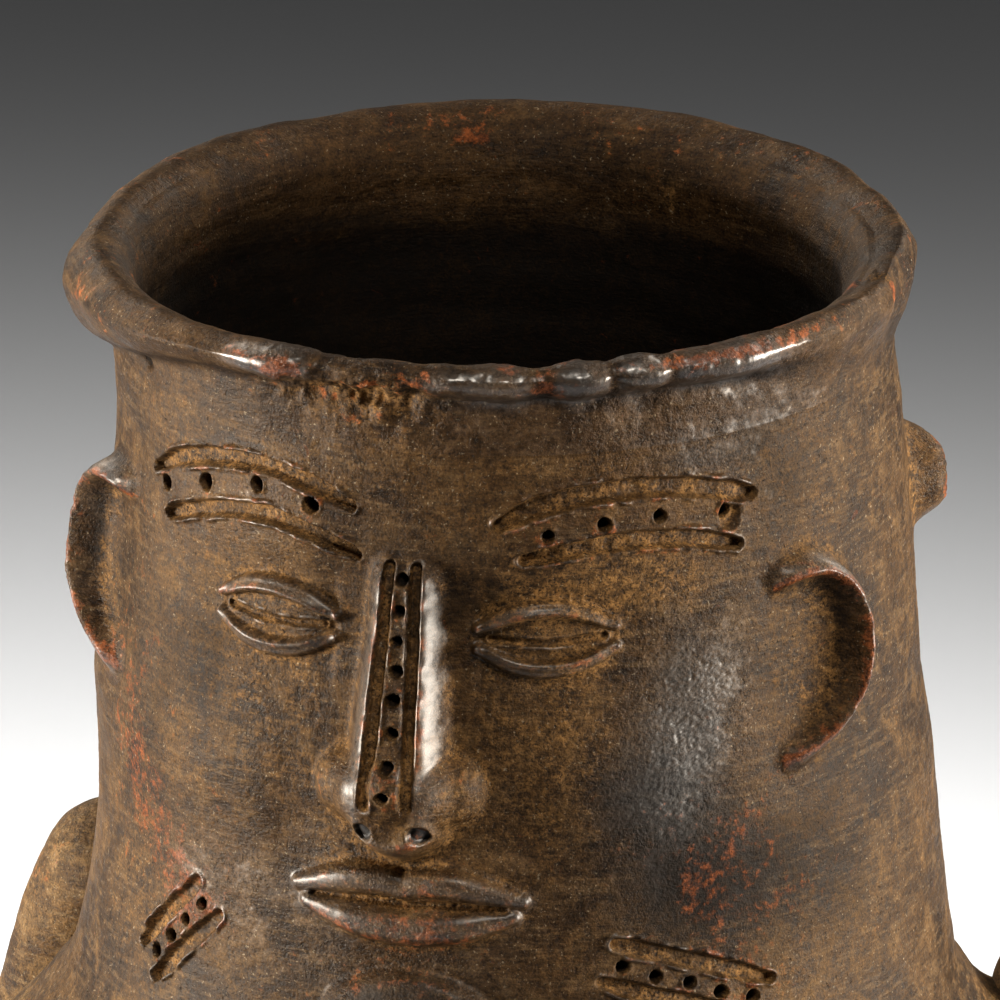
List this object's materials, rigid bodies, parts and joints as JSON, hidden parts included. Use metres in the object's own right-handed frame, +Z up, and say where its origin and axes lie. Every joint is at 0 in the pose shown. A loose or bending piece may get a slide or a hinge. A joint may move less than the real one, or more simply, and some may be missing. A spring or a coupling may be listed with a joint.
{
  "type": "ceramic ceremonial vessel",
  "caption": "Hand-built earthenware vessel with a round belly, a tall neck shaped as a head with a face on each side, a rolled rim, C-shaped ears and arms laid round the belly.",
  "frame": {"origin": "centre of the flat rest on the underside of the base", "axes": "+Z up through the mouth, -Y the way the first face looks, +Y the way the second face looks, +X towards that first face's right_arm side as seen from the front"},
  "size_m": [0.3174, 0.2788, 0.393],
  "materials": {
    "body_clay": "burnished low-fired clay with a brown patina and ochre dust",
    "neck_clay": "dark brown-grey patina, half gloss, mottled with ochre and worn reddish clay",
    "rim_clay": "dark handled patina, glossy, worn to red clay along the front edge",
    "relief_clay": "dark patina on applied clay, red-brown on worn ridges, ochre dust in the hollows",
    "arm_clay": "brown patina, matt, lighter tan where dust lies"
  },
  "bodies": {
    "root": {"front_nose": "relief_clay", "front_left_upper_eyelid": "relief_clay", "front_left_lower_eyelid": "relief_clay", "front_left_brow_band": "relief_clay", "front_left_nostril_wing": "relief_clay", "front_left_ear": "relief_clay", "front_right_upper_eyelid": "relief_clay", "front_right_lower_eyelid": "relief_clay", "front_right_brow_band": "relief_clay", "front_right_nostril_wing": "relief_clay", "front_right_ear": "relief_clay", "front_upper_lip": "relief_clay", "front_lower_lip": "relief_clay", "front_chin_pad": "relief_clay", "back_nose": "relief_clay", "back_left_upper_eyelid": "relief_clay", "back_left_lower_eyelid": "relief_clay", "back_left_brow_band": "relief_clay", "back_left_nostril_wing": "relief_clay", "back_left_ear": "relief_clay", "back_right_upper_eyelid": "relief_clay", "back_right_lower_eyelid": "relief_clay", "back_right_brow_band": "relief_clay", "back_right_nostril_wing": "relief_clay", "back_right_ear": "relief_clay", "back_upper_lip": "relief_clay", "back_lower_lip": "relief_clay", "back_chin_pad": "relief_clay", "left_arm": "arm_clay", "right_arm": "arm_clay", "base_pad": "body_clay", "foot_ring": "body_clay", "lower_belly_ring": "body_clay", "belly_ring": "body_clay", "upper_belly_ring": "body_clay", "shoulder_ring": "body_clay", "neck_foot_ring": "neck_clay", "neck_wall": "neck_clay", "rim_coil": "rim_clay"}
  },
  "joints": []
}
